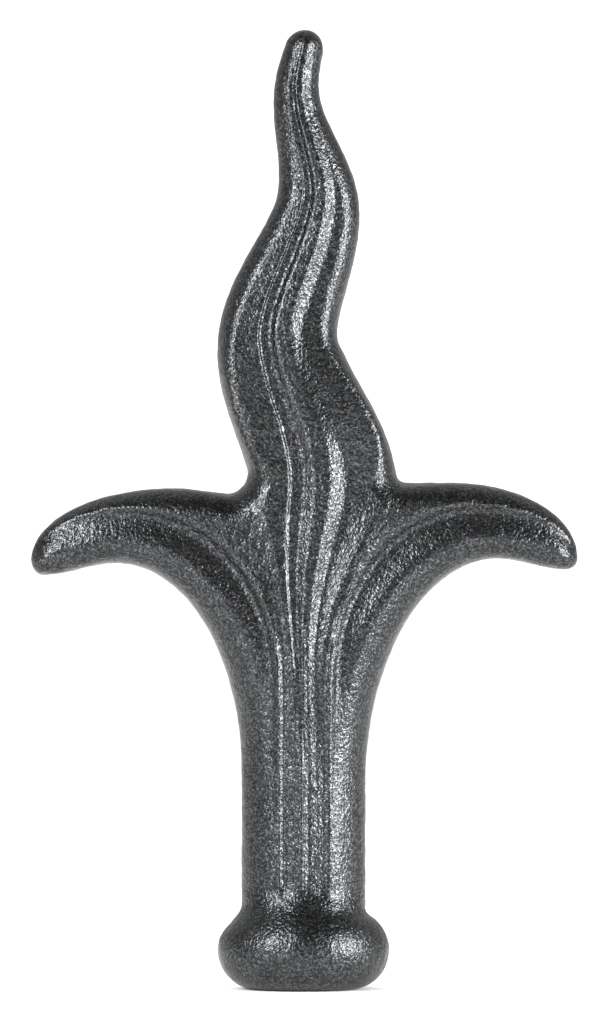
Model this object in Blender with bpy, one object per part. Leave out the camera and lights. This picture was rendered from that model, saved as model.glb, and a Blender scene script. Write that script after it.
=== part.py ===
# Forged steel fence finial: a collar, a fluted stem, two side leaves and a wavy flame, all one forging.
# X is to the right, Z is up and Y = 0 is the parting plane of the two dies that pressed it.
# Both faces are alike, so the front skin is a depth over the outline, and the back is its mirror image.
import math

import bmesh
import bpy
import numpy as np

MM = 0.001

# Collar and stem, in millimetres
WELD_FACE_WIDTH = 14.0
WELD_FACE_DEPTH = 13.0
COLLAR_WIDTH = 25.1
COLLAR_DEPTH = 23.2
COLLAR_HEIGHT = 11.4
# Where the fillet between collar and stem leaves the collar, as a share of the collar's upper half,
# and the height where it has reached the stem. The sides have their own, with each leaf below.
FRONT_FILLET_FROM = 0.50
FRONT_FILLET_TOP = 15.0
STEM_WIDTH = 18.1
STEM_DEPTH = 15.6
# Up to this height each row is rounded by itself, and above it by the nearest edge
OUTLINE_FROM = FRONT_FILLET_TOP + STEM_DEPTH / 2

# The valleys beside the flame's foot are this share of the stem's half width from its middle. They leave the
# fork's foot and reach the crotch in these directions, as shares of the way across and the way up.
VALLEY_SHARE = 0.315
VALLEY_START = np.array([0.0, 0.40])
VALLEY_END = np.array([0.40, 0.30])
# The stem forks here into two leaves and the flame. A crotch is where a leaf's upper edge meets the flame.
FORK_HEIGHT = 46.0

# Flame: its tip is the finial's top
HEIGHT = 140.0
FLAME_ROOT_HEIGHT = 72.5
FLAME_WIDTH = 21.7
# The taper and the turns of the flame's centre line, as pairs: share of its length above the root, and
# share of the width at the root
FLAME_TAPER = ((0.0, 1.0), (0.31, 0.825), (0.6, 0.59), (0.8, 0.355), (1.0, 0.235))
FLAME_TURNS = ((0.0, 0.138), (0.325, -0.171), (0.63, 0.092), (0.865, -0.046), (1.03, 0.037))

# Each leaf, with heights and distances out from the stem's middle in millimetres.
# start, rise: the underside leaves the stem's side there and climbs a quarter ellipse
# reach, tip_above, droop: the tip, its height above the underside and how far the heel hangs below it
# breadth: from the underside's top to the crown of the upper edge; dip: how far that edge sinks inwards
# fillet: the crotch's radius; crest_below: how far the crest stays under the crown
# neck_from, neck_top: the fillet between collar and stem on this side
# shares are of the reach, but ridge_share, of the stem's half width, places the flute that becomes the crest
LEFT_LEAF = {
    "side": -1, "start": 31.9, "rise": 30.3, "reach": 39.8, "breadth": 10.9,
    "tip_above": 0.4, "droop": 1.75, "dip": 0.9, "crest_below": 2.6, "fillet": 3.0,
    "under_share": 0.69, "heel_share": 0.955, "crown_share": 0.48, "crest_share": 0.625, "ridge_share": 0.40,
    "neck_from": 0.30, "neck_top": 12.4,
}
RIGHT_LEAF = {
    "side": 1, "start": 29.8, "rise": 33.0, "reach": 40.0, "breadth": 11.1,
    "tip_above": 0.0, "droop": 1.55, "dip": 0.0, "crest_below": 2.9, "fillet": 1.6,
    "under_share": 0.71, "heel_share": 0.96, "crown_share": 0.545, "crest_share": 0.60, "ridge_share": 0.43,
    "neck_from": 0.85, "neck_top": 12.0,
}
# A leaf's blade begins this far up its underside's climb and its crest's, as a share of each
FORK_UNDER_SHARE = 0.62
FORK_CREST_SHARE = 0.60
# Across a leaf, from the underside to the crest
LEAF_LOBE_SHARE = 0.42
LEAF_GROOVE_SHARE = 0.84

# The carving along each limb, as pairs: a station, and how far the surface stands proud of the stem's
# half depth, in hundredths of it. The stem has 46 stations, from -46 at the weld face to 0 at the fork's
# foot. From there it is FORK_RUN stations to the crotch, and LEAF_RUN or FLAME_RUN more to the tip.
STEM_RUN = 46
FORK_RUN = 26
LEAF_RUN = 32
FLAME_RUN = 70
LEAF_LOBE = ((-46, 0), (-12, 0), (0, -2), (26, -27), (42, -41), (58, -63))
LEAF_GROOVE = ((-46, 1), (-18, 1), (0, -8), (26, -37), (42, -49), (58, -66))
LEAF_CREST = ((-46, 3), (-12, 3), (0, 3), (26, -23), (42, -40), (58, -63))
LEAF_BACK = ((0, -3), (26, -24), (42, -43), (58, -63))
VALLEY = ((-46, -3.5), (-6, -3.5), (3, -3), (13, -10), (26, -24), (61, -42), (96, -63))
# How much prouder the right edge of the flame stands than its left one
RIGHT_RIM_RISE = ((26, 0), (38, 6), (54, 0), (96, 0))
# Lines that run up the flame, each with its share of the width from the left edge, and its height
LEFT_CREST_SHARE = ((-46, 0.15), (0, 0.15), (26, 0.11), (40, 0.12), (54, 0.20), (96, 0.22))
LEFT_CREST = (
    (-46, -1), (-6, -1), (3, -1), (13, -8), (26, -17), (38, -22), (54, -34), (63, -39), (82, -51), (96, -62),
)
LEFT_BRINK_SHARE = ((-46, 0.28), (-6, 0.28), (8, 0.19), (26, 0.285), (96, 0.29))
LEFT_BRINK = (
    (-46, 1.5), (-6, 1.5), (3, 0), (13, -8), (26, -18), (38, -22), (54, -31), (63, -37), (82, -49), (96, -62),
)
GROOVE_LEFT_SHARE = ((-46, 0.39), (-6, 0.39), (8, 0.23), (26, 0.325), (96, 0.33))
GROOVE_RIGHT_SHARE = ((-46, 0.44), (-6, 0.44), (8, 0.31), (26, 0.39), (96, 0.40))
GROOVE = (
    (-46, 3), (-6, 3), (3, -3), (13, -12), (26, -23), (38, -27), (54, -36), (63, -41), (82, -52), (96, -63),
)
RIDGE_SHARE = ((-46, 0.50), (-6, 0.50), (8, 0.46), (26, 0.48), (96, 0.49))
RIDGE = (
    (-46, 2.5), (-6, 2.5), (3, 3), (13, -3), (26, -12), (38, -17), (54, -27), (63, -32), (82, -46), (96, -61),
)
RIDGE_END_SHARE = ((-46, 0.62), (-6, 0.62), (8, 0.54), (26, 0.56), (45, 0.575), (96, 0.58))
RIDGE_END = (
    (-46, 0), (-6, 0), (3, 1), (13, -3), (26, -11), (38, -16), (54, -25), (63, -30), (82, -46), (96, -61),
)
SHELF_SHARE = ((-46, 0.84), (-6, 0.84), (8, 0.74), (26, 0.70), (45, 0.73), (96, 0.74))
SHELF = (
    (-46, -4), (-6, -4), (3, -5), (13, -14), (26, -24), (38, -20), (48, -31), (54, -39), (63, -45), (82, -52),
    (96, -63),
)
FLAME_LINES = (
    (LEFT_CREST_SHARE, LEFT_CREST),
    (LEFT_BRINK_SHARE, LEFT_BRINK),
    (GROOVE_LEFT_SHARE, GROOVE),
    (GROOVE_RIGHT_SHARE, GROOVE),
    (RIDGE_SHARE, RIDGE),
    (RIDGE_END_SHARE, RIDGE_END),
    (SHELF_SHARE, SHELF),
)
# The share of each facet across the flame that is rounded off at either end
FACET_ROUND = 0.22
# How far in from the outline the edge stays rounded: a station, and a share of the stem's half width
LEAF_EDGE_ROUND = ((-46, 1.0), (-12, 1.0), (0, 0.84), (26, 0.464), (42, 0.376), (58, 0.309))
FLAME_EDGE_ROUND = ((26, 0.464), (32, 0.24), (42, 0.22), (52, 0.33), (68, 0.33), (96, 0.254))

# Points closer than this, in millimetres, are one
WELD = 0.002
# Rows of the mesh up each part of the limbs, and points along each rail that guides them
COLLAR_ROWS = 6
NECK_ROWS = 3
STEM_ROWS = 10
FORK_ROWS = 12
LEAF_ROWS = 17
FLAME_ROWS = 36
RAIL_POINTS = 360
# 0 spaces a limb's rows evenly, and 1 brings the first and the last two of them together
ROW_CROWDING = 0.65
# How many stations the bends of a limb's inner columns are rounded off by, between the fork's foot and the
# crotch, how many more it takes to fade out, and the steps used for each station
EASE_RUN = 4
EASE_FADE = 16
EASE_STEPS = 2


def smooth_step(u):
    u = np.clip(u, 0.0, 1.0)
    return u * u * (3.0 - 2.0 * u)


def facet_step(u):
    # a straight climb from 0 to 1 with rounded ends
    r = FACET_ROUND
    u = np.clip(u, 0.0, 1.0)
    low, high = np.minimum(u, r), np.minimum(1 - u, r)
    return ((low * low - high * high) / (2 * r) + np.clip(u, r, 1 - r) - r / 2) / (1 - r)


def curve_through(table, at):
    # a smooth curve through the table's pairs, read at one or many places
    xs, ys = np.array(table, float).T
    slopes = np.gradient(ys, xs)
    at = np.clip(at, xs[0], xs[-1])
    i = np.clip(np.searchsorted(xs, at) - 1, 0, len(xs) - 2)
    span = xs[i + 1] - xs[i]
    u = (at - xs[i]) / span
    return (
        (1 + 2 * u) * (1 - u) ** 2 * ys[i]
        + u * (1 - u) ** 2 * span * slopes[i]
        + u * u * (3 - 2 * u) * ys[i + 1]
        + u * u * (u - 1) * span * slopes[i + 1]
    )


def quarter_ellipse(centre, radii, start, end):
    # angles in degrees from the outward direction, turning up
    angle = np.radians(np.linspace(start, end, RAIL_POINTS))
    return np.stack([centre[0] + radii[0] * np.cos(angle), centre[1] + radii[1] * np.sin(angle)], axis=1)


def at_fractions(rail, fractions):
    # points at these fractions of a rail's length
    steps = np.linalg.norm(np.diff(rail, axis=0), axis=1)
    length = np.concatenate([[0.0], np.cumsum(steps)])
    wanted = np.asarray(fractions) * length[-1]
    return np.stack([np.interp(wanted, length, rail[:, axis]) for axis in (0, 1)], axis=1)


def closer_at_ends(rows):
    # row positions from 0 to 1, closer together by the crotch and by the tip
    u = np.linspace(0, 1, rows + 1)
    return u - ROW_CROWDING * np.sin(2 * math.pi * u) / (2 * math.pi)


def side_normals(rail):
    tangent = np.gradient(rail, axis=0)
    tangent /= np.linalg.norm(tangent, axis=1)[:, None]
    return np.stack([tangent[:, 1], -tangent[:, 0]], axis=1)


def collar_profile(z, face, widest, stem, fillet_from, fillet_top):
    # half width or half depth at height z: an elliptical bead, and above it a fillet up to the stem
    middle = COLLAR_HEIGHT / 2
    bulge = widest - face
    start = middle * (1 + fillet_from)
    round_off = math.sqrt(1 - fillet_from**2)
    slope = -bulge * fillet_from / (middle * round_off) * (fillet_top - start)
    u = np.clip((z - start) / (fillet_top - start), 0, 1)
    joined = (face + bulge * round_off - stem) * (1 + 2 * u) * (1 - u) ** 2 + slope * u * (1 - u) ** 2
    bead = face + bulge * np.sqrt(np.clip(1 - ((z - middle) / middle) ** 2, 0, 1))
    return np.where(z < start, bead, stem + joined)


def half_width(leaf, z):
    sizes = (WELD_FACE_WIDTH / 2, COLLAR_WIDTH / 2, STEM_WIDTH / 2)
    return collar_profile(z, *sizes, leaf["neck_from"], leaf["neck_top"])


def half_depth(z):
    sizes = (WELD_FACE_DEPTH / 2, COLLAR_DEPTH / 2, STEM_DEPTH / 2)
    return collar_profile(z, *sizes, FRONT_FILLET_FROM, FRONT_FILLET_TOP)


def flame_centre(z):
    length = HEIGHT - FLAME_ROOT_HEIGHT
    share = np.clip((z - FLAME_ROOT_HEIGHT) / length, 0, 1)
    turn = np.full_like(share, FLAME_TURNS[0][1])
    for (low, before), (high, after) in zip(FLAME_TURNS, FLAME_TURNS[1:]):
        turn += (after - before) * smooth_step((share - low) / (high - low))
    return turn * FLAME_WIDTH


def flame_edges():
    # left and right edge of the flame, square to its centre line, from below the crotch up to the tip
    below = FLAME_WIDTH / 2
    tip_radius = FLAME_TAPER[-1][1] * FLAME_WIDTH / 2
    rise = HEIGHT - FLAME_ROOT_HEIGHT + below
    z = FLAME_ROOT_HEIGHT - below + rise * np.sin(np.linspace(0, math.pi / 2, RAIL_POINTS))
    centre = np.stack([flame_centre(z), z], axis=1)
    taper = curve_through(FLAME_TAPER, (z - FLAME_ROOT_HEIGHT) / (HEIGHT - FLAME_ROOT_HEIGHT))
    to_tip = np.clip((HEIGHT - z) / tip_radius, 0, 1)
    half = taper * FLAME_WIDTH / 2 * np.sqrt(1 - (1 - to_tip) ** 2)
    normal = side_normals(centre)
    return centre - half[:, None] * normal, centre + half[:, None] * normal


def leaf_rails(leaf, flame_edge):
    # the leaf's rails as outward distance and height: underside, crest, upper edge, valley, flame's edge
    half_stem = STEM_WIDTH / 2
    reach = leaf["reach"]
    under = (leaf["under_share"] * reach, leaf["start"] + leaf["rise"])
    tip = (reach, under[1] + leaf["tip_above"])
    crown = (leaf["crown_share"] * reach, under[1] + leaf["breadth"])
    crest_top = (leaf["crest_share"] * reach, crown[1] - leaf["crest_below"])
    heel = leaf["heel_share"] * reach

    foot_angle = math.degrees(math.asin((FORK_HEIGHT - leaf["start"]) / leaf["rise"]))
    sweep = (under[0] - half_stem, leaf["rise"])
    climb = quarter_ellipse((under[0], leaf["start"]), sweep, 180 - foot_angle, 90)
    along = np.linspace(under[0], heel, RAIL_POINTS)
    hang = under[1] - leaf["droop"] * smooth_step((along - under[0]) / (heel - under[0]))
    nose = quarter_ellipse((heel, tip[1]), (reach - heel, tip[1] - hang[-1]), -90, 0)
    underside = np.concatenate([climb, np.stack([along, hang], axis=1)[1:], nose[1:]])

    inner = quarter_ellipse(
        (crest_top[0], FORK_HEIGHT),
        (crest_top[0] - leaf["ridge_share"] * half_stem, crest_top[1] - FORK_HEIGHT),
        180,
        90,
    )
    outer = quarter_ellipse((crest_top[0], tip[1]), (reach - crest_top[0], crest_top[1] - tip[1]), 90, 0)
    crest = np.concatenate([inner, outer[1:]])

    back = quarter_ellipse((crown[0], tip[1]), (reach - crown[0], crown[1] - tip[1]), 0, 90)
    inwards = np.linspace(crown[0], half_stem / 2, RAIL_POINTS)
    sink = crown[1] - leaf["dip"] * smooth_step((crown[0] - inwards) / (crown[0] - half_stem))
    upper = np.concatenate([back, np.stack([inwards, sink], axis=1)[1:]])

    upper, flame_edge = rounded_crotch(upper, flame_edge, leaf["fillet"])
    foot = np.array([VALLEY_SHARE * half_stem, FORK_HEIGHT])
    crotch = upper[-1]
    climb = crotch - foot
    valley = bezier(foot, foot + VALLEY_START * climb, crotch - VALLEY_END * climb, crotch)
    return underside, crest, upper[::-1], valley, flame_edge


def bezier(a, b, c, d):
    t = np.linspace(0, 1, RAIL_POINTS)[:, None]
    return (1 - t) ** 3 * a + 3 * t * (1 - t) ** 2 * b + 3 * t * t * (1 - t) * c + t**3 * d


def rounded_crotch(upper, flame_edge, radius):
    # joins a leaf's upper edge to the flame's edge by an arc, and splits the arc between the two
    offset_a = upper + radius * side_normals(upper)
    offset_b = flame_edge + radius * side_normals(flame_edge)
    gaps = np.linalg.norm(offset_a[:, None] - offset_b[None], axis=2)
    i, j = np.unravel_index(gaps.argmin(), gaps.shape)
    centre = (offset_a[i] + offset_b[j]) / 2
    first = (upper[i] - centre) / radius
    last = (flame_edge[j] - centre) / radius
    turn = math.acos(float(np.clip(first @ last, -1, 1)))
    t = np.linspace(0, 1, 41)[:, None]
    arc = centre + radius * (np.sin((1 - t) * turn) * first + np.sin(t * turn) * last) / math.sin(turn)
    return np.concatenate([upper[:i], arc[:21]]), np.concatenate([arc[20:], flame_edge[j + 1 :]])


def shares_between(*stops):
    # column shares from (share, columns up to the next) pairs; the last pair only ends the run
    found = [stops[0][0]]
    for (low, count), (high, _) in zip(stops, stops[1:]):
        found += list(low + (high - low) * np.arange(1, count + 1) / count)
    return np.array(found)


def relief_between(share, stops, step=smooth_step):
    # carving across a strip: each stop is (share, height per row), joined by the given step
    depth = np.repeat(stops[0][1][:, None], len(share), axis=1)
    for (low, before), (high, after) in zip(stops, stops[1:]):
        low, high = (np.reshape(stop, (-1, 1)) for stop in (low, high))
        depth += (after - before)[:, None] * step((share - low) / (high - low))
    return depth


def between(a, b, share):
    return a[:, None] + (b - a)[:, None] * share[None, :, None]


def leaf_relief(share, station):
    lobe = curve_through(LEAF_LOBE, station)
    crest = curve_through(LEAF_CREST, station)
    groove = curve_through(LEAF_GROOVE, station)
    return relief_between(
        share, [(0.0, lobe), (LEAF_LOBE_SHARE, lobe), (LEAF_GROOVE_SHARE, groove), (1.0, crest)]
    )


def bank_relief(share, station):
    back = np.where(station < FORK_RUN, curve_through(VALLEY, station), curve_through(LEAF_BACK, station))
    return relief_between(share, [(0.0, curve_through(LEAF_CREST, station)), (1.0, back)])


def flame_relief(share, station):
    left_rim = curve_through(VALLEY, station)
    right_rim = left_rim + curve_through(RIGHT_RIM_RISE, station)
    stops = [tuple(curve_through(table, station) for table in line) for line in FLAME_LINES]
    return relief_between(share, [(0.0, left_rim), *stops, (1.0, right_rim)], facet_step)


def distance_to(outline, points):
    # shortest distance from each point to the outline's segments
    start, end = outline[:-1], outline[1:]
    run = end - start
    length_squared = np.maximum((run**2).sum(axis=1), 1e-12)
    nearest = np.empty(len(points))
    for k, point in enumerate(points):
        t = np.clip(((point - start) * run).sum(axis=1) / length_squared, 0, 1)
        nearest[k] = np.sqrt((((start + t[:, None] * run) - point) ** 2).sum(axis=1)).min()
    return np.maximum(nearest, WELD)


def rounded_edge(distance, radius):
    inside = np.clip(distance / radius, 0, 1)
    return np.sqrt(1 - (1 - inside) ** 2)


# Columns of the mesh across each strip, closer together by the outline and where the carving turns
LOBE_SHARES = shares_between((0.0, 3), (0.14, 2), (LEAF_LOBE_SHARE, 2), (LEAF_GROOVE_SHARE, 2), (1.0, 0))
BANK_SHARES = shares_between((0.0, 3), (1.0, 0))
FLAME_SHARES = shares_between(
    (0.0, 2),
    (0.11, 2),
    (LEFT_BRINK_SHARE[-1][1], 1),
    (GROOVE_LEFT_SHARE[-1][1], 1),
    (GROOVE_RIGHT_SHARE[-1][1], 1),
    (RIDGE_SHARE[-1][1], 1),
    (RIDGE_END_SHARE[-1][1], 2),
    (SHELF_SHARE[-1][1], 2),
    (0.93, 2),
    (1.0, 0),
)


def stem_rows():
    # heights of the rows from the weld face to the fork's foot, close together round the collar
    quarter = np.linspace(0, math.pi / 2, COLLAR_ROWS + 1)
    middle = COLLAR_HEIGHT / 2
    lower = middle * (1 - np.cos(quarter))
    upper = middle * (1 + np.sin(quarter[1:]))
    neck = np.linspace(COLLAR_HEIGHT, FRONT_FILLET_TOP, NECK_ROWS + 1)[1:]
    shaft = np.linspace(neck[-1], FORK_HEIGHT, STEM_ROWS + 1)[1:]
    return np.concatenate([lower, upper, neck, shaft])


def stem_side(leaf, z):
    # half width of the stem on this leaf's side, with the leaf's underside beginning to spread
    under = leaf["under_share"] * leaf["reach"]
    climbed = np.clip((z - leaf["start"]) / leaf["rise"], 0, 1)
    return half_width(leaf, z) + (under - STEM_WIDTH / 2) * (1 - np.sqrt(1 - climbed**2))


def eased(points, station, share):
    # rounds off the bends that a strip's inner columns have in the fork, and leaves its two rails alone
    steps = np.arange(station[0], station[-1], 1 / EASE_STEPS)
    reach = 3 * EASE_RUN * EASE_STEPS
    weights = np.exp(-((np.arange(-reach, reach + 1) / (EASE_RUN * EASE_STEPS)) ** 2) / 2)
    moved = np.zeros_like(points)
    for column in range(points.shape[1]):
        for axis in (0, 1):
            run = np.interp(steps, station, points[:, column, axis])
            before = 2 * run[0] - run[reach:0:-1]
            after = 2 * run[-1] - run[-2 : -reach - 2 : -1]
            smooth = np.convolve(np.concatenate([before, run, after]), weights / weights.sum(), "valid")
            moved[:, column, axis] = np.interp(station, steps, smooth - run)
    across = 4 * share * (1 - share)
    past_foot = smooth_step((station + 2 * EASE_RUN) / EASE_FADE + 1)
    past_crotch = smooth_step((station - FORK_RUN - EASE_RUN) / EASE_FADE)
    along = past_foot * (1 - past_crotch)
    return points + (along[:, None] * across)[..., None] * moved


def build_grids():
    # every strip of the front skin, as points and depths by row up a limb and by column from left to right
    left_edge, right_edge = flame_edges()
    z = stem_rows()
    fork_share = np.linspace(0, 1, FORK_ROWS + 1)
    leaf_share = closer_at_ends(LEAF_ROWS)
    flame_share = closer_at_ends(FLAME_ROWS)
    stem_and_fork = np.concatenate([(z / FORK_HEIGHT - 1) * STEM_RUN, fork_share[1:] * FORK_RUN])
    leaf_station = np.concatenate([stem_and_fork, FORK_RUN + leaf_share[1:] * LEAF_RUN])
    flame_station = np.concatenate([stem_and_fork, FORK_RUN + flame_share[1:] * FLAME_RUN])
    leaf_round = curve_through(LEAF_EDGE_ROUND, leaf_station)
    flame_round = np.where(
        flame_station < FORK_RUN,
        curve_through(LEAF_EDGE_ROUND, flame_station),
        curve_through(FLAME_EDGE_ROUND, flame_station),
    )

    runs = {}
    strips = []
    flame_sides = {}
    for leaf, edge in ((LEFT_LEAF, left_edge), (RIGHT_LEAF, right_edge)):
        side = leaf["side"]
        outward = np.array([side, 1.0])
        underside, crest, upper, valley, flame_edge = (
            rail * outward for rail in leaf_rails(leaf, edge * outward)
        )
        runs[side] = outline_run(leaf, underside, upper, flame_edge)
        under_cut = round(FORK_UNDER_SHARE * RAIL_POINTS)
        crest_cut = round(FORK_CREST_SHARE * RAIL_POINTS)
        in_stem = stem_rails(leaf, z)
        in_fork = (underside[: under_cut + 1], crest[: crest_cut + 1], valley)
        in_blade = (underside[under_cut:], crest[crest_cut:], upper)
        outer, ridge, inner = (
            np.concatenate([low, at_fractions(middle, fork_share)[1:], at_fractions(high, leaf_share)[1:]])
            for low, middle, high in zip(in_stem, in_fork, in_blade)
        )
        flame_sides[side] = np.concatenate(
            [in_stem[2], at_fractions(valley, fork_share)[1:], at_fractions(flame_edge, flame_share)[1:]]
        )
        lobe = (outer, ridge, LOBE_SHARES, leaf_relief, (0,), leaf_station[0])
        bank = (ridge, inner, BANK_SHARES, bank_relief, (-1,), FORK_RUN)
        for low, high, share, relief_of, rims, rim_from in (lobe, bank):
            points = eased(between(low, high, share), leaf_station, share)
            relief = relief_of(share, leaf_station)
            rim = on_outline(relief, leaf_station, rims, rim_from)
            strips.append((points[:, ::-side], relief[:, ::-side], rim[:, ::-side], leaf_round))
    points = eased(between(flame_sides[-1], flame_sides[1], FLAME_SHARES), flame_station, FLAME_SHARES)
    relief = flame_relief(FLAME_SHARES, flame_station)
    strips.append((points, relief, on_outline(relief, flame_station, (0, -1), FORK_RUN), flame_round))
    outline = np.concatenate([runs[-1], runs[1][::-1]])
    return [(points, skin_depth(points, *rest, outline)) for points, *rest in strips]


def on_outline(relief, station, columns, start):
    # marks a strip's points on the outline: these columns from the start station up, and the whole tip
    marks = np.zeros(relief.shape, bool)
    for column in columns:
        marks[:, column] = station >= start
    marks[-1] = True
    return marks


def outline_run(leaf, underside, upper, flame_edge):
    # one side of the outline above the collar: stem, leaf and flame, up to the tip
    z = np.linspace(OUTLINE_FROM, FORK_HEIGHT, RAIL_POINTS)
    stem = np.stack([leaf["side"] * stem_side(leaf, z), z], axis=1)
    return np.concatenate([stem[:-1], underside, upper[::-1][1:], flame_edge[1:]])


def stem_rails(leaf, z):
    half = stem_side(leaf, z)
    plain = half_width(leaf, z)
    across = (half, leaf["ridge_share"] * plain, VALLEY_SHARE * plain)
    return [np.stack([leaf["side"] * x, z], axis=1) for x in across]


def skin_depth(points, relief, rim, edge_round, outline):
    # depth of the front skin: the carved plate, rounded off towards the outline
    flat = points.reshape(-1, 2)
    z = flat[:, 1]
    half = np.where(flat[:, 0] < 0, stem_side(LEFT_LEAF, z), stem_side(RIGHT_LEAF, z))
    radius = np.repeat(edge_round, points.shape[1]) * STEM_WIDTH / 2
    # the collar and the lower stem are elliptical row by row, and above them the nearest edge counts
    straight = rounded_edge(half - np.abs(flat[:, 0]), half)
    curved = rounded_edge(distance_to(outline, flat), radius)
    upward = smooth_step((z - OUTLINE_FROM) / (FORK_HEIGHT - OUTLINE_FROM) * 4)
    edge = np.where(rim.reshape(-1), 0.0, (1 - upward) * straight + upward * curved)
    carving = smooth_step((z - COLLAR_HEIGHT) / (FRONT_FILLET_TOP - COLLAR_HEIGHT))
    return (half_depth(z) * (1 + carving * relief.reshape(-1) / 100) * edge).reshape(relief.shape)


def forge(name, grids):
    # the front skin with the front half of the weld face, joined into one mesh
    mesh = bmesh.new()
    for points, depth in grids:
        rows = [
            [mesh.verts.new((x * MM, -y * MM, z * MM)) for (x, z), y in zip(line, deep)]
            for line, deep in zip(points, depth)
        ]
        for low, high in zip(rows, rows[1:]):
            for k in range(len(low) - 1):
                mesh.faces.new((low[k], low[k + 1], high[k + 1], high[k]))
    bmesh.ops.remove_doubles(mesh, verts=mesh.verts, dist=WELD * MM)
    underside = sorted((v for v in mesh.verts if v.co.z < WELD * MM), key=lambda v: -v.co.x)
    weld_face = mesh.faces.new(underside)
    for face in mesh.faces:
        face.smooth = face is not weld_face
    made = bpy.data.meshes.new(name)
    mesh.to_mesh(made)
    mesh.free()
    return made


def forged_steel():
    steel = bpy.data.materials.new("forged_steel")
    steel.use_nodes = True
    shader = steel.node_tree.nodes["Principled BSDF"]
    shader.inputs["Base Color"].default_value = (0.115, 0.115, 0.118, 1.0)
    shader.inputs["Metallic"].default_value = 1.0
    shader.inputs["Roughness"].default_value = 0.5
    return steel


def main():
    for old in list(bpy.data.objects):
        bpy.data.objects.remove(old)
    finial = bpy.data.objects.new("finial", forge("finial", build_grids()))
    bpy.context.scene.collection.objects.link(finial)
    finial.data.materials.append(forged_steel())
    back = finial.modifiers.new("back", "MIRROR")
    back.use_axis = (False, True, False)
    back.merge_threshold = WELD * MM / 2


if __name__ == "__main__":
    main()
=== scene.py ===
import math

import bmesh
import bpy
import numpy as np
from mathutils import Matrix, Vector, noise


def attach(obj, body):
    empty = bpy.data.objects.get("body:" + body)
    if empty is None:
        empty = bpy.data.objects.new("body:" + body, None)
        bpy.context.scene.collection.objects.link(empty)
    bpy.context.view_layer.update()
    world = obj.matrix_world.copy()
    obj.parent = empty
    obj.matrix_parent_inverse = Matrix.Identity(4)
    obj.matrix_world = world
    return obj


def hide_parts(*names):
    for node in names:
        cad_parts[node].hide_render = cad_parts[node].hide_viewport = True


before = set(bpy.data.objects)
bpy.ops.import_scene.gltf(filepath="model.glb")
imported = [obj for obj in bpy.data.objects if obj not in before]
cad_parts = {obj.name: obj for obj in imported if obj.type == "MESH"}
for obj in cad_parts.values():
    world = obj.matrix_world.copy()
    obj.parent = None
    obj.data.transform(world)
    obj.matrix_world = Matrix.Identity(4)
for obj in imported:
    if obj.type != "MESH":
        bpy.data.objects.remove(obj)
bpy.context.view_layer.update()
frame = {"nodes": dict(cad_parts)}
print("frame loaded:", ", ".join(frame["nodes"]))

mm = 0.001

# The finial's form, in millimetres unless the name says share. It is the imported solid's own form,
# with x to the right, z up, and y = 0 where the two forging dies met.
finialForm = {
    "height": 140.0,
    "weldFaceWidth": 14.0,      # flat underside that is welded to the bar
    "weldFaceDepth": 13.0,
    "collarWidth": 25.1,
    "collarDepth": 23.2,
    "collarHeight": 11.4,
    "frontFilletFrom": 0.50,    # share of the collar's upper half where the fillet to the stem begins
    "frontFilletTop": 15.0,
    "stemWidth": 18.1,
    "stemDepth": 15.6,
    "valleyShare": 0.315,       # of the stem's half width: the flutes that run up beside the flame
    "valleyStart": (0.0, 0.40),
    "valleyEnd": (0.40, 0.30),
    "forkHeight": 46.0,
    "flameRoot": 72.5,
    "flameWidth": 21.7,
    # share of the flame's length above its root, and share of its width at the root
    "flameTaper": ((0.0, 1.0), (0.31, 0.825), (0.6, 0.59), (0.8, 0.355), (1.0, 0.235)),
    "flameTurns": ((0.0, 0.138), (0.325, -0.171), (0.63, 0.092), (0.865, -0.046), (1.03, 0.037)),
    "forkUnderShare": 0.62,
    "forkCrestShare": 0.60,
}

# One dictionary for each leaf. The shares are of its reach, but ridgeShare is of the stem's half width.
leftLeaf = {
    "side": -1, "start": 31.9, "rise": 30.3, "reach": 39.8, "breadth": 10.9,
    "tipAbove": 0.4, "droop": 1.75, "dip": 0.9, "crestBelow": 2.6, "fillet": 3.0,
    "underShare": 0.69, "heelShare": 0.955, "crownShare": 0.48, "crestShare": 0.625, "ridgeShare": 0.40,
    "neckFrom": 0.30, "neckTop": 12.4,
}
rightLeaf = {
    "side": 1, "start": 29.8, "rise": 33.0, "reach": 40.0, "breadth": 11.1,
    "tipAbove": 0.0, "droop": 1.55, "dip": 0.0, "crestBelow": 2.9, "fillet": 1.6,
    "underShare": 0.71, "heelShare": 0.96, "crownShare": 0.545, "crestShare": 0.60, "ridgeShare": 0.43,
    "neckFrom": 0.85, "neckTop": 12.0,
}

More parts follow.
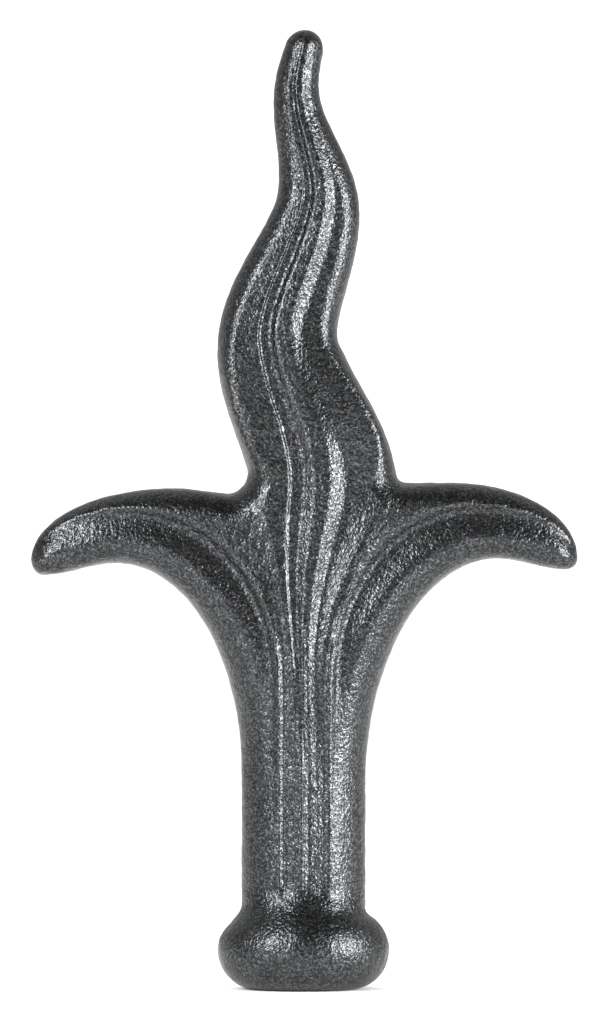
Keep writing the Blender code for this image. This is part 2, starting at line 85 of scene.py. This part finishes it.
# The carving along each limb. Stations run from -46 at the weld face through 0 at the fork's foot and
# 26 at the crotch to 58 at a leaf's tip and 96 at the flame's. Heights are hundredths of the stem's half
# depth, and the shares are across the flame from its left edge.
carving = {
    "stemRun": 46, "forkRun": 26, "leafRun": 32, "flameRun": 70,
    "lobeShare": 0.42,
    "grooveShare": 0.84,
    "leafLobe": ((-46, 0), (-12, 0), (0, -2), (26, -27), (42, -41), (58, -63)),
    "leafGroove": ((-46, 1), (-18, 1), (0, -9), (26, -39), (42, -51), (58, -66)),
    "leafCrest": ((-46, 3), (-12, 3), (0, 3), (26, -23), (42, -40), (58, -63)),
    "leafBack": ((0, -3), (26, -24), (42, -43), (58, -63)),
    "valley": ((-46, -3.5), (-6, -3.5), (3, -3), (13, -10), (26, -24), (61, -42), (96, -63)),
    "rightRimRise": ((26, 0), (38, 6), (54, 0), (96, 0)),
    "facetRound": 0.28,     # share of each flame facet that is rounded off at either end
    # how far in from the outline the edge stays rounded, as a share of the stem's half width
    "leafEdgeRound": ((-46, 1.0), (-12, 1.0), (0, 0.84), (26, 0.464), (42, 0.376), (58, 0.309)),
    "flameEdgeRound": ((26, 0.464), (31, 0.20), (42, 0.18), (52, 0.33), (68, 0.33), (96, 0.254)),
    "feetFrom": 12.2, "feetTop": 16.8,      # mm up the stem, where the flutes rise out of the collar's fillet
    # share of the upper stem over which the edge goes over from following the row to following the outline
    "edgeBlendShare": 0.25,
    # stations over which the bends in the fork are rounded off and fade out, and samples for each station
    "easeRun": 4, "easeFade": 16, "easeSteps": 2,
}

grooveHeights = (
    (-46, 3), (-6, 3), (3, -3), (13, -13), (26, -25), (38, -30), (54, -39), (63, -43), (82, -53), (96, -63),
)

# Lines that run up the flame, from left to right, by station: where each lies across the width, and its height
flameLines = {
    "leftCrest": {
        "share": ((-46, 0.15), (0, 0.15), (26, 0.11), (40, 0.12), (54, 0.20), (96, 0.22)),
        "height": (
            (-46, -1), (-6, -1), (3, -1), (13, -8), (26, -17), (38, -22), (54, -34), (63, -39), (82, -51),
            (96, -62),
        ),
    },
    "leftBrink": {
        "share": ((-46, 0.28), (-6, 0.28), (8, 0.19), (26, 0.285), (96, 0.29)),
        "height": (
            (-46, 1.5), (-6, 1.5), (3, 0), (13, -8), (26, -18), (38, -22), (54, -31), (63, -37), (82, -49),
            (96, -62),
        ),
    },
    "grooveLeft": {
        "share": ((-46, 0.39), (-6, 0.39), (8, 0.225), (26, 0.31), (96, 0.32)),
        "height": grooveHeights,
    },
    "grooveRight": {
        "share": ((-46, 0.44), (-6, 0.44), (8, 0.31), (26, 0.38), (96, 0.39)),
        "height": grooveHeights,
    },
    "ridge": {
        "share": ((-46, 0.50), (-6, 0.50), (8, 0.46), (26, 0.48), (96, 0.49)),
        "height": (
            (-46, 2.5), (-6, 2.5), (3, 3), (13, -3), (26, -12), (38, -17), (54, -27), (63, -32), (82, -46),
            (96, -61),
        ),
    },
    "ridgeEnd": {
        "share": ((-46, 0.62), (-6, 0.62), (8, 0.54), (26, 0.56), (45, 0.575), (96, 0.58)),
        "height": (
            (-46, 0), (-6, 0), (3, 1), (13, -3), (26, -11), (38, -16), (54, -25), (63, -30), (82, -46),
            (96, -61),
        ),
    },
    "shelf": {
        "share": ((-46, 0.84), (-6, 0.84), (8, 0.74), (26, 0.70), (45, 0.73), (96, 0.74)),
        "height": (
            (-46, -4), (-6, -4), (3, -6), (13, -18), (26, -28), (38, -21), (48, -31), (54, -39), (63, -45),
            (82, -52), (96, -63),
        ),
    },
}

# How fine the mesh is: rows up each part of a limb, and (share across, columns up to the next) for each strip
meshGrid = {
    "collarRows": 22, "neckRows": 12, "stemRows": 86, "forkRows": 82, "leafRows": 104, "flameRows": 226,
    "lobe": ((0.0, 7), (0.14, 4), (0.42, 6), (0.84, 5), (1.0, 0)),
    "bank": ((0.0, 14), (1.0, 0)),
    "flame": (
        (0.0, 6), (0.07, 8), (0.27, 7), (0.34, 4), (0.39, 5), (0.48, 5), (0.57, 8), (0.74, 7), (0.91, 4),
        (1.0, 0),
    ),
    "railPoints": 360,
    "halfCrotch": 20,       # steps in each half of the arc between a leaf and the flame
    "rowCrowding": 0.5,     # 0 spaces the rows of a leaf or the flame evenly, 1 closes them up at both ends
    "weld": 0.002,          # mm, closer points are one
}

# What the hammer, the scale and the shot leave on the surface: wave length and height in millimetres, seed
forgedSkin = {
    "drawn": (11.0, 0.060, 3.1),    # slow unevenness of a hot forging
    "dented": (3.0, 0.040, 7.7),    # shallow scale pockets
    "pitted": (1.1, 0.062, 12.9),   # coarse grain of the blasted skin
}
skinFrom = 0.8      # mm above the weld face from where the unevenness is full, so the face stays flat


def smoothStep(u):
    u = np.clip(u, 0.0, 1.0)
    return u * u * (3.0 - 2.0 * u)


def facetStep(u):
    # straight climb from 0 to 1 with rounded ends
    r = carving["facetRound"]
    u = np.clip(u, 0.0, 1.0)
    low, high = np.minimum(u, r), np.minimum(1 - u, r)
    return ((low * low - high * high) / (2 * r) + np.clip(u, r, 1 - r) - r / 2) / (1 - r)


def curveThrough(table, at):
    # smooth curve through the table's pairs
    xs, ys = np.array(table, float).T
    slopes = np.gradient(ys, xs)
    at = np.clip(at, xs[0], xs[-1])
    i = np.clip(np.searchsorted(xs, at) - 1, 0, len(xs) - 2)
    span = xs[i + 1] - xs[i]
    u = (at - xs[i]) / span
    return (
        (1 + 2 * u) * (1 - u) ** 2 * ys[i]
        + u * (1 - u) ** 2 * span * slopes[i]
        + u * u * (3 - 2 * u) * ys[i + 1]
        + u * u * (u - 1) * span * slopes[i + 1]
    )


def quarterEllipse(centre, radii, start, end):
    # angles in degrees from the outward direction, turning up
    angle = np.radians(np.linspace(start, end, meshGrid["railPoints"]))
    return np.stack([centre[0] + radii[0] * np.cos(angle), centre[1] + radii[1] * np.sin(angle)], axis=1)


def bezier(a, b, c, d):
    t = np.linspace(0, 1, meshGrid["railPoints"])[:, None]
    return (1 - t) ** 3 * a + 3 * t * (1 - t) ** 2 * b + 3 * t * t * (1 - t) * c + t**3 * d


def atFractions(rail, fractions):
    # points at these fractions of a rail's length
    steps = np.linalg.norm(np.diff(rail, axis=0), axis=1)
    length = np.concatenate([[0.0], np.cumsum(steps)])
    wanted = np.asarray(fractions) * length[-1]
    return np.stack([np.interp(wanted, length, rail[:, axis]) for axis in (0, 1)], axis=1)


def sideNormals(rail):
    tangent = np.gradient(rail, axis=0)
    tangent /= np.linalg.norm(tangent, axis=1)[:, None]
    return np.stack([tangent[:, 1], -tangent[:, 0]], axis=1)


def collarProfile(z, face, widest, stem, filletFrom, filletTop):
    # half width or half depth at height z: a bead, and above it a fillet up to the stem
    middle = finialForm["collarHeight"] / 2
    bulge = widest - face
    start = middle * (1 + filletFrom)
    roundOff = math.sqrt(1 - filletFrom**2)
    slope = -bulge * filletFrom / (middle * roundOff) * (filletTop - start)
    u = np.clip((z - start) / (filletTop - start), 0, 1)
    joined = (face + bulge * roundOff - stem) * (1 + 2 * u) * (1 - u) ** 2 + slope * u * (1 - u) ** 2
    bead = face + bulge * np.sqrt(np.clip(1 - ((z - middle) / middle) ** 2, 0, 1))
    return np.where(z < start, bead, stem + joined)


def halfWidth(leaf, z):
    sizes = [finialForm[name] / 2 for name in ("weldFaceWidth", "collarWidth", "stemWidth")]
    return collarProfile(z, *sizes, leaf["neckFrom"], leaf["neckTop"])


def halfDepth(z):
    sizes = [finialForm[name] / 2 for name in ("weldFaceDepth", "collarDepth", "stemDepth")]
    return collarProfile(z, *sizes, finialForm["frontFilletFrom"], finialForm["frontFilletTop"])


def stemSide(leaf, z):
    # half width of the stem on this leaf's side, with the leaf's underside beginning to spread
    under = leaf["underShare"] * leaf["reach"]
    climbed = np.clip((z - leaf["start"]) / leaf["rise"], 0, 1)
    return halfWidth(leaf, z) + (under - finialForm["stemWidth"] / 2) * (1 - np.sqrt(1 - climbed**2))


def flameEdges():
    # left and right edge of the flame, square to its wavy centre line, from below the crotch up to the tip
    root, top, width = finialForm["flameRoot"], finialForm["height"], finialForm["flameWidth"]
    below = width / 2
    z = root - below + (top - root + below) * np.sin(np.linspace(0, math.pi / 2, meshGrid["railPoints"]))
    share = (z - root) / (top - root)
    turns = finialForm["flameTurns"]
    turn = np.full_like(share, turns[0][1])
    for (low, before), (high, after) in zip(turns, turns[1:]):
        turn += (after - before) * smoothStep((np.clip(share, 0, 1) - low) / (high - low))
    centre = np.stack([turn * width, z], axis=1)
    tipRadius = finialForm["flameTaper"][-1][1] * width / 2
    toTip = np.clip((top - z) / tipRadius, 0, 1)
    half = curveThrough(finialForm["flameTaper"], share) * width / 2 * np.sqrt(1 - (1 - toTip) ** 2)
    normal = sideNormals(centre)
    return centre - half[:, None] * normal, centre + half[:, None] * normal


def roundedCrotch(upper, flameEdge, radius):
    # joins a leaf's upper edge to the flame's edge by an arc, and splits the arc between the two
    offsetA = upper + radius * sideNormals(upper)
    offsetB = flameEdge + radius * sideNormals(flameEdge)
    gaps = np.linalg.norm(offsetA[:, None] - offsetB[None], axis=2)
    i, j = np.unravel_index(gaps.argmin(), gaps.shape)
    centre = (offsetA[i] + offsetB[j]) / 2
    first = (upper[i] - centre) / radius
    last = (flameEdge[j] - centre) / radius
    turn = math.acos(float(np.clip(first @ last, -1, 1)))
    half = meshGrid["halfCrotch"]
    t = np.linspace(0, 1, 2 * half + 1)[:, None]
    arc = centre + radius * (np.sin((1 - t) * turn) * first + np.sin(t * turn) * last) / math.sin(turn)
    return np.concatenate([upper[:i], arc[:half + 1]]), np.concatenate([arc[half:], flameEdge[j + 1:]])


def leafRails(leaf, flameEdge):
    # a leaf's guide lines, as distance outwards and height
    points = meshGrid["railPoints"]
    halfStem = finialForm["stemWidth"] / 2
    forkHeight = finialForm["forkHeight"]
    reach = leaf["reach"]
    under = (leaf["underShare"] * reach, leaf["start"] + leaf["rise"])
    tip = (reach, under[1] + leaf["tipAbove"])
    crown = (leaf["crownShare"] * reach, under[1] + leaf["breadth"])
    crestTop = (leaf["crestShare"] * reach, crown[1] - leaf["crestBelow"])
    heel = leaf["heelShare"] * reach

    footAngle = math.degrees(math.asin((forkHeight - leaf["start"]) / leaf["rise"]))
    climb = quarterEllipse((under[0], leaf["start"]), (under[0] - halfStem, leaf["rise"]), 180 - footAngle, 90)
    along = np.linspace(under[0], heel, points)
    hang = under[1] - leaf["droop"] * smoothStep((along - under[0]) / (heel - under[0]))
    nose = quarterEllipse((heel, tip[1]), (reach - heel, tip[1] - hang[-1]), -90, 0)
    underside = np.concatenate([climb, np.stack([along, hang], axis=1)[1:], nose[1:]])

    innerRadii = (crestTop[0] - leaf["ridgeShare"] * halfStem, crestTop[1] - forkHeight)
    inner = quarterEllipse((crestTop[0], forkHeight), innerRadii, 180, 90)
    outer = quarterEllipse((crestTop[0], tip[1]), (reach - crestTop[0], crestTop[1] - tip[1]), 90, 0)
    crest = np.concatenate([inner, outer[1:]])

    back = quarterEllipse((crown[0], tip[1]), (reach - crown[0], crown[1] - tip[1]), 0, 90)
    inwards = np.linspace(crown[0], halfStem / 2, points)
    sink = crown[1] - leaf["dip"] * smoothStep((crown[0] - inwards) / (crown[0] - halfStem))
    upper = np.concatenate([back, np.stack([inwards, sink], axis=1)[1:]])

    upper, flameEdge = roundedCrotch(upper, flameEdge, leaf["fillet"])
    foot = np.array([finialForm["valleyShare"] * halfStem, forkHeight])
    crotch = upper[-1]
    climb = crotch - foot
    valleyStart, valleyEnd = (np.array(finialForm[name]) for name in ("valleyStart", "valleyEnd"))
    valley = bezier(foot, foot + valleyStart * climb, crotch - valleyEnd * climb, crotch)
    return underside, crest, upper[::-1], valley, flameEdge


def sharesBetween(stops):
    found = [stops[0][0]]
    for (low, count), (high, _) in zip(stops, stops[1:]):
        found += list(low + (high - low) * np.arange(1, count + 1) / count)
    return np.array(found)


def reliefBetween(share, stops, step):
    # carving across a strip: each stop is (share, height per row)
    depth = np.repeat(stops[0][1][:, None], len(share), axis=1)
    for (low, before), (high, after) in zip(stops, stops[1:]):
        low, high = (np.reshape(stop, (-1, 1)) for stop in (low, high))
        depth += (after - before)[:, None] * step((share - low) / (high - low))
    return depth


def lobeRelief(share, station):
    names = ("leafLobe", "leafGroove", "leafCrest")
    lobe, groove, crest = (curveThrough(carving[name], station) for name in names)
    stops = [(0.0, lobe), (carving["lobeShare"], lobe), (carving["grooveShare"], groove), (1.0, crest)]
    return reliefBetween(share, stops, smoothStep)


def bankRelief(share, station):
    crest, valley, leafBack = (curveThrough(carving[name], station) for name in ("leafCrest", "valley", "leafBack"))
    back = np.where(station < carving["forkRun"], valley, leafBack)
    return reliefBetween(share, [(0.0, crest), (1.0, back)], smoothStep)


def flameRelief(share, station):
    rim = curveThrough(carving["valley"], station)
    stops = [tuple(curveThrough(line[name], station) for name in ("share", "height")) for line in flameLines.values()]
    rightRim = rim + curveThrough(carving["rightRimRise"], station)
    return reliefBetween(share, [(0.0, rim), *stops, (1.0, rightRim)], facetStep)


def eased(points, station, share):
    # rounds off the bends that a strip's inner columns have in the fork, and leaves its two rails alone
    run, fade, perStation = carving["easeRun"], carving["easeFade"], carving["easeSteps"]
    steps = np.arange(station[0], station[-1], 1 / perStation)
    reach = 3 * run * perStation
    weights = np.exp(-((np.arange(-reach, reach + 1) / (run * perStation)) ** 2) / 2)
    moved = np.zeros_like(points)
    for column in range(points.shape[1]):
        for axis in (0, 1):
            line = np.interp(steps, station, points[:, column, axis])
            before = 2 * line[0] - line[reach:0:-1]
            after = 2 * line[-1] - line[-2:-reach - 2:-1]
            smooth = np.convolve(np.concatenate([before, line, after]), weights / weights.sum(), "valid")
            moved[:, column, axis] = np.interp(station, steps, smooth - line)
    pastFoot = smoothStep((station + 2 * run) / fade + 1)
    pastCrotch = smoothStep((station - carving["forkRun"] - run) / fade)
    along = pastFoot * (1 - pastCrotch)
    return points + (along[:, None] * 4 * share * (1 - share))[..., None] * moved


def distanceTo(outline, points):
    # shortest distance from each point to the outline's segments
    start, run = outline[:-1], np.diff(outline, axis=0)
    lengthSquared = np.maximum((run**2).sum(axis=1), 1e-12)
    nearest = np.empty(len(points))
    for k, point in enumerate(points):
        t = np.clip(((point - start) * run).sum(axis=1) / lengthSquared, 0, 1)
        nearest[k] = ((start + t[:, None] * run - point) ** 2).sum(axis=1).min()
    return np.maximum(np.sqrt(nearest), meshGrid["weld"])


def skinDepth(points, relief, rim, edgeRound, outline):
    # depth of the front skin: the carved plate, rounded off towards the outline
    flat = points.reshape(-1, 2)
    z = flat[:, 1]
    halfStem = finialForm["stemWidth"] / 2
    half = np.where(flat[:, 0] < 0, stemSide(leftLeaf, z), stemSide(rightLeaf, z))
    radius = np.repeat(edgeRound, points.shape[1]) * halfStem
    byRow = np.clip(1 - np.abs(flat[:, 0]) / half, 0, 1)
    byOutline = np.clip(distanceTo(outline, flat) / radius, 0, 1)
    straight, curved = (np.sqrt(1 - (1 - inside) ** 2) for inside in (byRow, byOutline))
    outlineFrom = finialForm["frontFilletTop"] + finialForm["stemDepth"] / 2
    upward = smoothStep((z - outlineFrom) / (finialForm["forkHeight"] - outlineFrom) / carving["edgeBlendShare"])
    edge = np.where(rim.reshape(-1), 0.0, (1 - upward) * straight + upward * curved)
    feetFrom, feetTop = carving["feetFrom"], carving["feetTop"]
    carved = smoothStep((z - feetFrom) / (feetTop - feetFrom))
    return (halfDepth(z) * (1 + carved * relief.reshape(-1) / 100) * edge).reshape(relief.shape)


def stemRows():
    # heights of the rows from the weld face to the fork's foot
    quarter = np.linspace(0, math.pi / 2, meshGrid["collarRows"] + 1)
    collarHeight, neckTop = finialForm["collarHeight"], finialForm["frontFilletTop"]
    middle = collarHeight / 2
    lower = middle * (1 - np.cos(quarter))
    upper = middle * (1 + np.sin(quarter[1:]))
    neck = np.linspace(collarHeight, neckTop, meshGrid["neckRows"] + 1)[1:]
    shaft = np.linspace(neckTop, finialForm["forkHeight"], meshGrid["stemRows"] + 1)[1:]
    return np.concatenate([lower, upper, neck, shaft])


def crowdedRows(rows):
    u = np.linspace(0, 1, rows + 1)
    return u - meshGrid["rowCrowding"] * np.sin(2 * math.pi * u) / (2 * math.pi)


def onOutline(relief, station, columns, start):
    # marks a strip's points on the outline: these columns from the start station up, and the whole tip
    marks = np.zeros(relief.shape, bool)
    for column in columns:
        marks[:, column] = station >= start
    marks[-1] = True
    return marks


def outlineRun(leaf, underside, upper, flameEdge):
    # one side of the outline above the collar: stem, leaf and flame, up to the tip
    low = finialForm["frontFilletTop"] + finialForm["stemDepth"] / 2
    z = np.linspace(low, finialForm["forkHeight"], meshGrid["railPoints"])
    stem = np.stack([leaf["side"] * stemSide(leaf, z), z], axis=1)
    return np.concatenate([stem[:-1], underside, upper[::-1][1:], flameEdge[1:]])


def buildStrips():
    # every strip of the front skin: points and depths, by row up a limb and by column from left to right
    leftEdge, rightEdge = flameEdges()
    z = stemRows()
    forkShare = np.linspace(0, 1, meshGrid["forkRows"] + 1)
    leafShare, flameShare = crowdedRows(meshGrid["leafRows"]), crowdedRows(meshGrid["flameRows"])
    forkRun = carving["forkRun"]
    stemStation = (z / finialForm["forkHeight"] - 1) * carving["stemRun"]
    lowStation = np.concatenate([stemStation, forkShare[1:] * forkRun])
    leafStation = np.concatenate([lowStation, forkRun + leafShare[1:] * carving["leafRun"]])
    flameStation = np.concatenate([lowStation, forkRun + flameShare[1:] * carving["flameRun"]])
    lobeShares, bankShares, flameShares = (sharesBetween(meshGrid[name]) for name in ("lobe", "bank", "flame"))
    leafRound = curveThrough(carving["leafEdgeRound"], leafStation)
    leafRoundLow, flameRoundHigh = (
        curveThrough(carving[name], flameStation) for name in ("leafEdgeRound", "flameEdgeRound")
    )
    flameRound = np.where(flameStation < forkRun, leafRoundLow, flameRoundHigh)

    runs, flameSides, strips = {}, {}, []
    for leaf, edge in ((leftLeaf, leftEdge), (rightLeaf, rightEdge)):
        side = leaf["side"]
        outward = np.array([side, 1.0])
        rails = [rail * outward for rail in leafRails(leaf, edge * outward)]
        underside, crest, upper, valley, flameEdge = rails
        runs[side] = outlineRun(leaf, underside, upper, flameEdge)
        plain = halfWidth(leaf, z)
        inStem = [
            np.stack([side * x, z], axis=1)
            for x in (stemSide(leaf, z), leaf["ridgeShare"] * plain, finialForm["valleyShare"] * plain)
        ]
        underCut, crestCut = (
            round(finialForm[name] * meshGrid["railPoints"]) for name in ("forkUnderShare", "forkCrestShare")
        )
        inFork = (underside[:underCut + 1], crest[:crestCut + 1], valley)
        inBlade = (underside[underCut:], crest[crestCut:], upper)
        outer, ridge, inner = (
            np.concatenate([low, atFractions(middle, forkShare)[1:], atFractions(high, leafShare)[1:]])
            for low, middle, high in zip(inStem, inFork, inBlade)
        )
        flameSides[side] = np.concatenate(
            [inStem[2], atFractions(valley, forkShare)[1:], atFractions(flameEdge, flameShare)[1:]]
        )
        lobe = (outer, ridge, lobeShares, lobeRelief, (0,), leafStation[0])
        bank = (ridge, inner, bankShares, bankRelief, (-1,), forkRun)
        for low, high, share, reliefOf, rims, rimFrom in (lobe, bank):
            points = low[:, None] + (high - low)[:, None] * share[None, :, None]
            points = eased(points, leafStation, share)
            relief = reliefOf(share, leafStation)
            rim = onOutline(relief, leafStation, rims, rimFrom)
            strips.append((points[:, ::-side], relief[:, ::-side], rim[:, ::-side], leafRound))
    low, high = flameSides[-1], flameSides[1]
    points = low[:, None] + (high - low)[:, None] * flameShares[None, :, None]
    points = eased(points, flameStation, flameShares)
    relief = flameRelief(flameShares, flameStation)
    strips.append((points, relief, onOutline(relief, flameStation, (0, -1), forkRun), flameRound))
    outline = np.concatenate([runs[-1], runs[1][::-1]])
    return [(points, skinDepth(points, *rest, outline)) for points, *rest in strips]


def roughened(mesh):
    # moves every point along its normal by the forged skin's unevenness
    mesh.normal_update()
    moves = []
    for v in mesh.verts:
        spot = v.co / mm
        height = 0.0
        for length, depth, seed in forgedSkin.values():
            height += depth * noise.noise(spot / length + Vector((seed, 2 * seed, -seed)))
        keep = min(1.0, v.co.z / (skinFrom * mm))
        moves.append(v.normal * height * keep * mm)
    for v, move in zip(mesh.verts, moves):
        v.co += move


def forgeFinial(name, strips):
    # front skin and its mirror image, closed by the flat weld face
    mesh = bmesh.new()
    for turn in (-1, 1):
        for points, depth in strips:
            rows = [
                [mesh.verts.new((x * mm, turn * y * mm, z * mm)) for (x, z), y in zip(line, deep)]
                for line, deep in zip(points, depth)
            ]
            for low, high in zip(rows, rows[1:]):
                for k in range(len(low) - 1):
                    corners = (low[k], low[k + 1], high[k + 1], high[k])
                    mesh.faces.new(corners[::-turn])
    bmesh.ops.remove_doubles(mesh, verts=mesh.verts, dist=meshGrid["weld"] * mm)
    rim = [e for e in mesh.edges if e.is_boundary]
    bmesh.ops.contextual_create(mesh, geom=rim)
    roughened(mesh)
    made = bpy.data.meshes.new(name)
    mesh.to_mesh(made)
    mesh.free()
    for face in made.polygons:
        face.use_smooth = len(face.vertices) < 5
    piece = bpy.data.objects.new(name, made)
    bpy.context.scene.collection.objects.link(piece)
    return piece


finial = forgeFinial("forgedFinial", buildStrips())
print("forged finial:", len(finial.data.vertices), "points,", len(finial.data.polygons), "faces")


def linear(hexColour):
    channels = [int(hexColour[i:i + 2], 16) / 255 for i in (1, 3, 5)]
    return [c / 12.92 if c <= 0.04045 else ((c + 0.055) / 1.055) ** 2.4 for c in channels] + [1.0]


def addNode(tree, kind, settings, links):
    # settings and links are keyed by property name or by input; a link's value is an output socket
    node = tree.nodes.new(kind)
    for key, value in settings.items():
        if isinstance(key, str) and hasattr(node, key):
            setattr(node, key, value)
        else:
            node.inputs[key].default_value = value
    for key, socket in links.items():
        tree.links.new(socket, node.inputs[key])
    return node


# Drop-forged mild steel, shot-blasted until only a tight dark skin of the forging scale is left.
# The eye sees a nearly black metal with a soft sheen, and a grain that catches the light in small bright
# points. The grain is drawn at its real size in millimetres, the same on every face.
scaledSteel = {
    # colours of the grain from its hollows to its tops
    "hollow": "#2a2b2c",
    "body": "#3f4041",
    "top": "#5f6062",
    "hollowAt": 0.38, "bodyAt": 0.53, "topAt": 0.68,
    "roughness": 0.34,
    "grainSize": 0.46, "grainHeight": 0.13,     # mm, blasted grain
    "speckSize": 0.24, "speckHeight": 0.036,    # mm, broken edges of the grain
}


def shotBlastedSteel():
    values = scaledSteel
    steel = bpy.data.materials.new("shotBlastedForgedSteel")
    steel.use_nodes = True
    tree = steel.node_tree
    shader = tree.nodes["Principled BSDF"]
    shader.inputs["Metallic"].default_value = 1.0
    shader.inputs["Roughness"].default_value = values["roughness"]
    place = addNode(tree, "ShaderNodeTexCoord", {}, {}).outputs["Object"]
    perMetre = 1 / mm
    grain = addNode(tree, "ShaderNodeTexNoise", {"Scale": perMetre / values["grainSize"], "Detail": 1.0},
                    {"Vector": place})
    specks = addNode(tree, "ShaderNodeTexNoise", {"Scale": perMetre / values["speckSize"], "Detail": 0.0},
                     {"Vector": place})
    both = addNode(tree, "ShaderNodeMath", {"operation": "ADD"}, {0: grain.outputs[0], 1: specks.outputs[0]})
    mean = addNode(tree, "ShaderNodeMath", {"operation": "MULTIPLY", 1: 0.5}, {0: both.outputs[0]})
    ramp = addNode(tree, "ShaderNodeValToRGB", {}, {"Fac": mean.outputs[0]})
    stops = ramp.color_ramp.elements
    stops.new(values["bodyAt"])
    for stop, name in zip(stops, ("hollow", "body", "top")):
        stop.position = values[name + "At"]
        stop.color = linear(values[name])
    tree.links.new(ramp.outputs["Color"], shader.inputs["Base Color"])
    coarse = addNode(tree, "ShaderNodeBump", {"Strength": 1.0, "Distance": values["grainHeight"] * mm},
                     {"Height": grain.outputs[0]})
    fine = addNode(tree, "ShaderNodeBump", {"Strength": 1.0, "Distance": values["speckHeight"] * mm},
                   {"Height": specks.outputs[0], "Normal": coarse.outputs["Normal"]})
    tree.links.new(fine.outputs["Normal"], shader.inputs["Normal"])
    return steel


finial.data.materials.append(shotBlastedSteel())
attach(finial, "root")
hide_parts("finial")
print("steel finish made")

# Studio: a pale paper floor, a white room and soft boxes
studio = {
    "paper": "#f2f2f1", "paperRoughness": 0.9,
    "floorSize": 8.0, "floorCells": 24,
    "flatShare": 0.9, "edgeLift": 0.02,     # beyond this share of its half size the paper turns up this steeply
    "roomSeen": 1.25,       # white behind the finial and on the paper
    "roomBehind": 0.70,     # what the steel reflects of the room behind it and in front of it
    "roomBefore": 0.10,
    "roomBlend": 0.2,       # how far either side of the middle the two melt into each other
    # name: direction and height of the box in degrees, distance, width, height (m) and watts
    "boxes": {
        "leftBox": (-43, 23, 0.9, 0.30, 0.40, 11.5),
        "rightBox": (61, 8, 0.9, 0.36, 0.45, 17.5),
    },
}


def makeFloor():
    # a square sheet of paper with its edges turned up a little, far outside the picture
    half = studio["floorSize"] / 2
    flat = studio["flatShare"] * half
    count = studio["floorCells"]
    mesh = bmesh.new()
    rows = []
    for i in range(count + 1):
        row = []
        for j in range(count + 1):
            x, y = (2 * i / count - 1) * half, (2 * j / count - 1) * half
            lift = studio["edgeLift"] * max(0.0, math.hypot(x, y) - flat)
            row.append(mesh.verts.new((x, y, lift)))
        rows.append(row)
    for low, high in zip(rows, rows[1:]):
        for k in range(count):
            mesh.faces.new((low[k], high[k], high[k + 1], low[k + 1]))
    made = bpy.data.meshes.new("paperFloor")
    mesh.to_mesh(made)
    mesh.free()
    floor = bpy.data.objects.new("paperFloor", made)
    bpy.context.scene.collection.objects.link(floor)
    # the eye sees a dull white ground with only a faint shadow on it
    paper = bpy.data.materials.new("uncoatedStudioPaper")
    paper.use_nodes = True
    shader = paper.node_tree.nodes["Principled BSDF"]
    shader.inputs["Base Color"].default_value = linear(studio["paper"])
    shader.inputs["Roughness"].default_value = studio["paperRoughness"]
    floor.data.materials.append(paper)
    return floor


def makeRoom():
    # the room is white where the camera and the paper see it, and the steel reflects a darker front
    world = bpy.data.worlds.new("whiteRoom")
    bpy.context.scene.world = world
    world.use_nodes = True
    tree = world.node_tree
    tree.nodes.clear()
    direction = addNode(tree, "ShaderNodeTexCoord", {}, {}).outputs["Generated"]
    split = addNode(tree, "ShaderNodeSeparateXYZ", {}, {"Vector": direction})
    blend = studio["roomBlend"]
    strength = addNode(tree, "ShaderNodeMapRange",
                       {"interpolation_type": "SMOOTHSTEP", "From Min": -blend, "From Max": blend,
                        "To Min": studio["roomBefore"], "To Max": studio["roomBehind"]},
                       {"Value": split.outputs["Y"]})
    seen = addNode(tree, "ShaderNodeBackground", {"Strength": studio["roomSeen"]}, {})
    seen.inputs["Color"].default_value = (1, 1, 1, 1)
    mirrored = addNode(tree, "ShaderNodeBackground", {}, {"Strength": strength.outputs["Result"]})
    mirrored.inputs["Color"].default_value = (1, 1, 1, 1)
    path = addNode(tree, "ShaderNodeLightPath", {}, {})
    mixed = addNode(tree, "ShaderNodeMixShader", {},
                    {0: path.outputs["Is Glossy Ray"], 1: seen.outputs[0], 2: mirrored.outputs[0]})
    addNode(tree, "ShaderNodeOutputWorld", {}, {"Surface": mixed.outputs[0]})


def aimAt(piece, target):
    piece.rotation_euler = (target - piece.location).to_track_quat("-Z", "Y").to_euler()


def makeBoxes():
    middle = Vector((0, 0, finialForm["height"] / 2 * mm))
    for name, (turn, lift, distance, width, height, watts) in studio["boxes"].items():
        light = bpy.data.lights.new(name, "AREA")
        light.shape = "RECTANGLE"
        light.size, light.size_y, light.energy = width, height, watts
        box = bpy.data.objects.new(name, light)
        bpy.context.scene.collection.objects.link(box)
        turn, lift = math.radians(turn), math.radians(lift)
        away = Vector((math.sin(turn) * math.cos(lift), -math.cos(turn) * math.cos(lift), math.sin(lift)))
        box.location = middle + away * distance
        box.visible_camera = False
        aimAt(box, middle)


# The camera looks straight at the front from far off. The photograph is 607 x 1019 pixels, and the finial's
# 140 mm take up 958.5 of them, with the middle of the picture 70 mm above the weld face.
photo = {"height": 1019, "finialPixels": 958.5, "distance": 1.2, "centreHeight": 70.0, "sensorHeight": 36}


def makeCamera():
    data = bpy.data.cameras.new("frontCamera")
    camera = bpy.data.objects.new("frontCamera", data)
    bpy.context.scene.collection.objects.link(camera)
    camera.location = (0, -photo["distance"], photo["centreHeight"] * mm)
    aimAt(camera, Vector((0, 0, photo["centreHeight"] * mm)))
    seenHeight = photo["height"] / photo["finialPixels"] * finialForm["height"] * mm
    data.sensor_fit = "VERTICAL"
    data.sensor_height = photo["sensorHeight"]
    data.lens = data.sensor_height * photo["distance"] / seenHeight
    data.dof.use_dof = False
    bpy.context.scene.camera = camera


makeFloor()
makeRoom()
makeBoxes()
makeCamera()
bpy.context.scene.view_settings.view_transform = "Standard"
print("studio and camera set")
